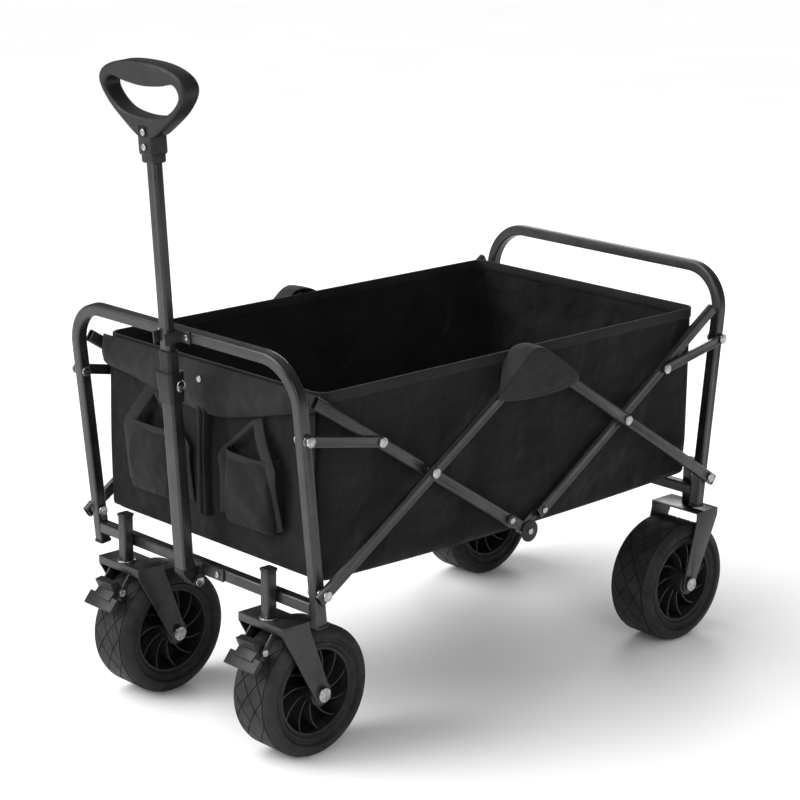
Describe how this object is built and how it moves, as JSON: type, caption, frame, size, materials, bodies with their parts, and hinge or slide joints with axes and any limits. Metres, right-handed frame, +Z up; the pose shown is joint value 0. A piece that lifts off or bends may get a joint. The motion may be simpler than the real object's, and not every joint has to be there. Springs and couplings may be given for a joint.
{
  "type": "beach cart",
  "caption": "Folding beach cart: fabric bag on a crossed-bar frame, braked swivel casters in front, fixed wheels behind and a telescoping pull handle.",
  "frame": {"origin": "on the floor under the middle of the standing cart's bounding box, handle upright and drawn out", "axes": "+X across the cart to its right seen from behind, -Y towards the handle and the swivel casters, +Z up"},
  "size_m": [0.5126, 0.9081, 0.906],
  "materials": {
    "black_steel": "satin black powder coat",
    "bright_fasteners": "bright zinc plating",
    "black_plastic": "moulded, lightly grained",
    "tyre_rubber": "matt, moulded tread",
    "hub_plastic": "satin moulded",
    "bag_fabric": "black woven polyester"
  },
  "bodies": {
    "front_frame": {"front_frame_tube": "black_steel", "front_crossbar": "black_steel", "front_stem_tubes": "black_steel", "front_end_caps": "black_plastic", "front_leg_pins": "bright_fasteners", "front_frame_bolts": "bright_fasteners", "handle_bracket": "black_steel", "handle_clip": "black_steel"},
    "front_outer_bars": {"front_outer_bar_right": "black_steel", "front_outer_bar_left": "black_steel", "front_upper_hinge_plates": "black_steel", "front_outer_pins": "bright_fasteners"},
    "front_inner_bars": {"front_inner_bar_right": "black_steel", "front_inner_bar_left": "black_steel", "front_lower_hinge_plates": "black_steel", "front_inner_pins": "bright_fasteners"},
    "rear_inner_bars": {"rear_inner_bar_right": "black_steel", "rear_inner_bar_left": "black_steel", "rear_lower_hinge_plates": "black_steel", "rear_inner_rivets": "bright_fasteners"},
    "rear_outer_bars": {"rear_outer_bar_right": "black_steel", "rear_outer_bar_left": "black_steel", "rear_upper_hinge_plates": "black_steel", "rear_outer_pins": "bright_fasteners"},
    "rear_frame": {"rear_frame_tube": "black_steel", "rear_crossbar": "black_steel", "rear_stem_tubes": "black_steel", "rear_end_caps": "black_plastic", "rear_leg_pins": "bright_fasteners", "rear_forks": "black_steel", "rear_axles": "bright_fasteners"},
    "front_stays": {"front_stays": "black_steel", "front_stay_rivets": "bright_fasteners"},
    "rear_stays": {"rear_stays": "black_steel", "rear_stay_rivets": "bright_fasteners"},
    "bag": {"cargo_bag": "bag_fabric", "front_organiser": "bag_fabric"},
    "handle_lower": {"handle_yoke": "black_plastic", "handle_lower_tube": "black_steel", "handle_collar": "black_plastic"},
    "handle_upper": {"handle_upper_tube": "black_steel", "handle_grip": "black_plastic", "grip_bolts": "bright_fasteners"},
    "lock_pin": {"handle_lock_pin": "bright_fasteners"},
    "caster_right": {"caster_fork_right": "black_steel", "caster_bearing_right": "bright_fasteners", "caster_pins_right": "bright_fasteners"},
    "caster_left": {"caster_fork_left": "black_steel", "caster_bearing_left": "bright_fasteners", "caster_pins_left": "bright_fasteners"},
    "brake_right": {"brake_pedal_right": "black_plastic"},
    "brake_left": {"brake_pedal_left": "black_plastic"},
    "front_wheel_right": {"front_tyre_right": "tyre_rubber", "front_hub_right": "hub_plastic"},
    "front_wheel_left": {"front_tyre_left": "tyre_rubber", "front_hub_left": "hub_plastic"},
    "rear_wheel_right": {"rear_tyre_right": "tyre_rubber", "rear_hub_right": "hub_plastic"},
    "rear_wheel_left": {"rear_tyre_left": "tyre_rubber", "rear_hub_left": "hub_plastic"}
  },
  "joints": [
    {"name": "fold", "type": "hinge", "parent": "front_frame", "child": "front_outer_bars", "pos_m": [0, -0.36186, 0.25], "axis": [1, 0, 0], "range_deg": [0, 39.45], "deforming": ["cargo_bag", "front_organiser"]},
    {"name": "front_crossing", "type": "hinge", "parent": "front_outer_bars", "child": "front_inner_bars", "pos_m": [0, -0.17243, 0.37325], "axis": [1, 0, 0], "range_deg": [-78.91, 0]},
    {"name": "lower_centre", "type": "hinge", "parent": "front_inner_bars", "child": "rear_inner_bars", "pos_m": [0, 0.017, 0.25], "axis": [1, 0, 0], "range_deg": [0, 78.91]},
    {"name": "rear_crossing", "type": "hinge", "parent": "rear_inner_bars", "child": "rear_outer_bars", "pos_m": [0, 0.20643, 0.37325], "axis": [1, 0, 0], "range_deg": [-78.91, 0]},
    {"name": "rear_leg", "type": "hinge", "parent": "rear_outer_bars", "child": "rear_frame", "pos_m": [0, 0.39586, 0.25], "axis": [1, 0, 0], "range_deg": [0, 39.46]},
    {"name": "front_stay_swing", "type": "hinge", "parent": "front_frame", "child": "front_stays", "pos_m": [0, -0.38411, 0.4548], "axis": [1, 0, 0], "range_deg": [0, 73.4]},
    {"name": "rear_stay_swing", "type": "hinge", "parent": "rear_frame", "child": "rear_stays", "pos_m": [0, 0.41811, 0.4548], "axis": [1, 0, 0], "range_deg": [-73.4, 0]},
    {"name": "bag_lift", "type": "slide", "parent": "front_frame", "child": "bag", "axis": [0, 0, 1], "range_m": [0, 0.1883], "deforming": ["cargo_bag", "front_organiser"]},
    {"name": "handle_swing", "type": "hinge", "parent": "front_frame", "child": "handle_lower", "pos_m": [0, -0.378, 0.211], "axis": [1, 0, 0], "range_deg": [0, 90]},
    {"name": "handle_telescope", "type": "slide", "parent": "handle_lower", "child": "handle_upper", "axis": [0, -0.0698, 0.9976], "range_m": [-0.21, 0]},
    {"name": "lock_pin_pull", "type": "slide", "parent": "handle_lower", "child": "lock_pin", "axis": [1, 0, 0], "range_m": [0, 0.004], "stiffness_N_per_m": 800, "springref_m": -0.001},
    {"name": "caster_swivel_right", "type": "hinge", "parent": "front_frame", "child": "caster_right", "pos_m": [0.1505, -0.37526, 0.2], "axis": [0, 0, 1], "continuous": true},
    {"name": "front_wheel_spin_right", "type": "hinge", "parent": "caster_right", "child": "front_wheel_right", "pos_m": [0.1505, -0.32126, 0.09], "axis": [1, 0, 0], "continuous": true},
    {"name": "brake_press_right", "type": "hinge", "parent": "caster_right", "child": "brake_right", "pos_m": [0.1505, -0.40026, 0.162], "axis": [1, 0, 0], "range_deg": [0, 20]},
    {"name": "rear_wheel_spin_right", "type": "hinge", "parent": "rear_frame", "child": "rear_wheel_right", "pos_m": [0.199, 0.36426, 0.09], "axis": [1, 0, 0], "continuous": true},
    {"name": "caster_swivel_left", "type": "hinge", "parent": "front_frame", "child": "caster_left", "pos_m": [-0.1505, -0.37526, 0.2], "axis": [0, 0, 1], "continuous": true},
    {"name": "front_wheel_spin_left", "type": "hinge", "parent": "caster_left", "child": "front_wheel_left", "pos_m": [-0.1505, -0.32126, 0.09], "axis": [1, 0, 0], "continuous": true},
    {"name": "brake_press_left", "type": "hinge", "parent": "caster_left", "child": "brake_left", "pos_m": [-0.1505, -0.40026, 0.162], "axis": [1, 0, 0], "range_deg": [0, 20]},
    {"name": "rear_wheel_spin_left", "type": "hinge", "parent": "rear_frame", "child": "rear_wheel_left", "pos_m": [-0.199, 0.36426, 0.09], "axis": [1, 0, 0], "continuous": true}
  ],
  "couplings": [
    {"joint": "front_crossing", "follows": "fold", "ratio": -2},
    {"joint": "lower_centre", "follows": "fold", "ratio": 2},
    {"joint": "rear_crossing", "follows": "fold", "ratio": -2},
    {"joint": "rear_leg", "follows": "fold", "ratio": 1},
    {"joint": "front_stay_swing", "follows": "fold", "ratio": 1.8592},
    {"joint": "rear_stay_swing", "follows": "fold", "ratio": -1.8592},
    {"joint": "bag_lift", "follows": "fold", "m_per_rad": 0.27281}
  ]
}
